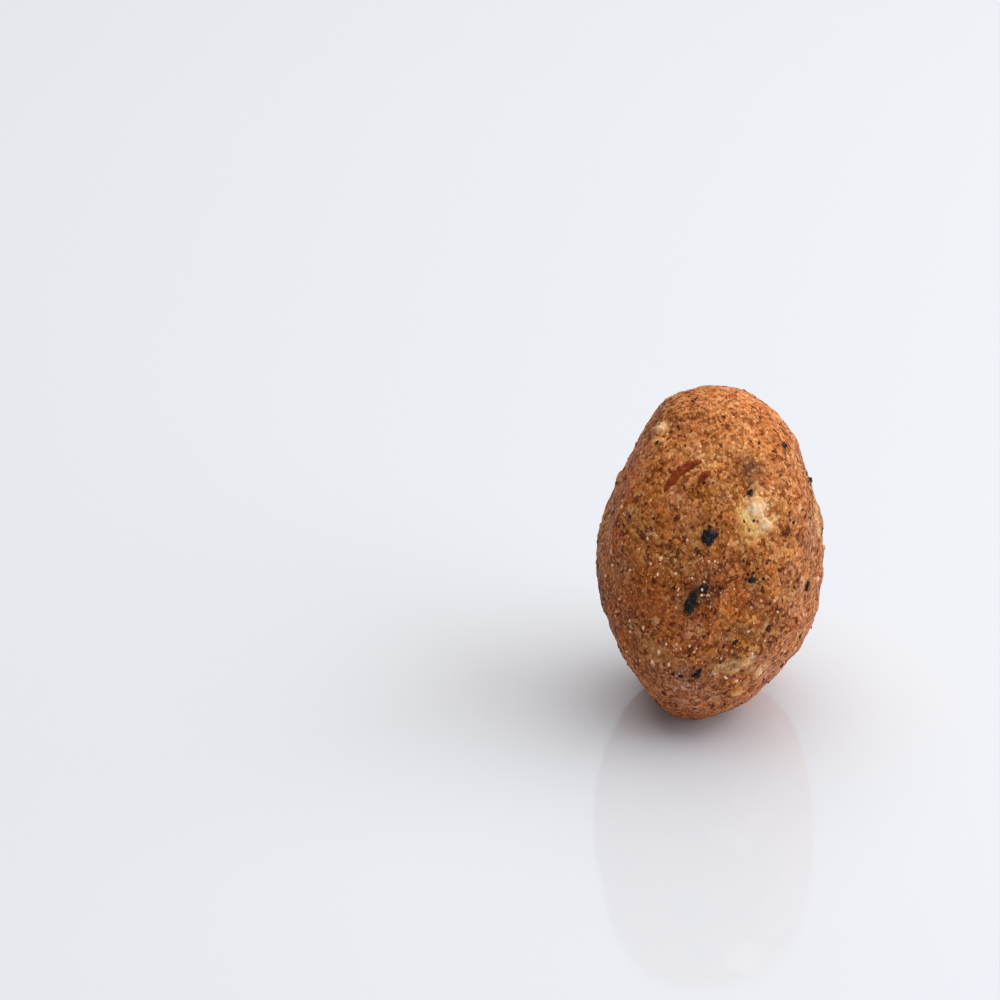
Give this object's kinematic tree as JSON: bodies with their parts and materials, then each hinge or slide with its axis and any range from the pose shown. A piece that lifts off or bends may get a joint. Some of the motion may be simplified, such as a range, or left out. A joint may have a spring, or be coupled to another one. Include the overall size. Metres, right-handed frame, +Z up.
{
  "type": "wheat flour laddu",
  "caption": "Hand-pressed ball of sweet roasted wheat flour, an upright egg with nut, almond skin and seed bits in its crumbly surface.",
  "frame": {"origin": "on the floor, under the middle of the ball's box", "axes": "+Z up along the ball's length, and -Y towards the side that the picture shows"},
  "size_m": [0.0379, 0.0399, 0.0575],
  "materials": {
    "dough": "crumbly roasted flour dough",
    "nut": "cut nut",
    "skin": "almond skin",
    "seed": "dull dark seed",
    "sugar": "clear sugar grains"
  },
  "bodies": {
    "root": {"laddu": "dough"}
  },
  "joints": []
}
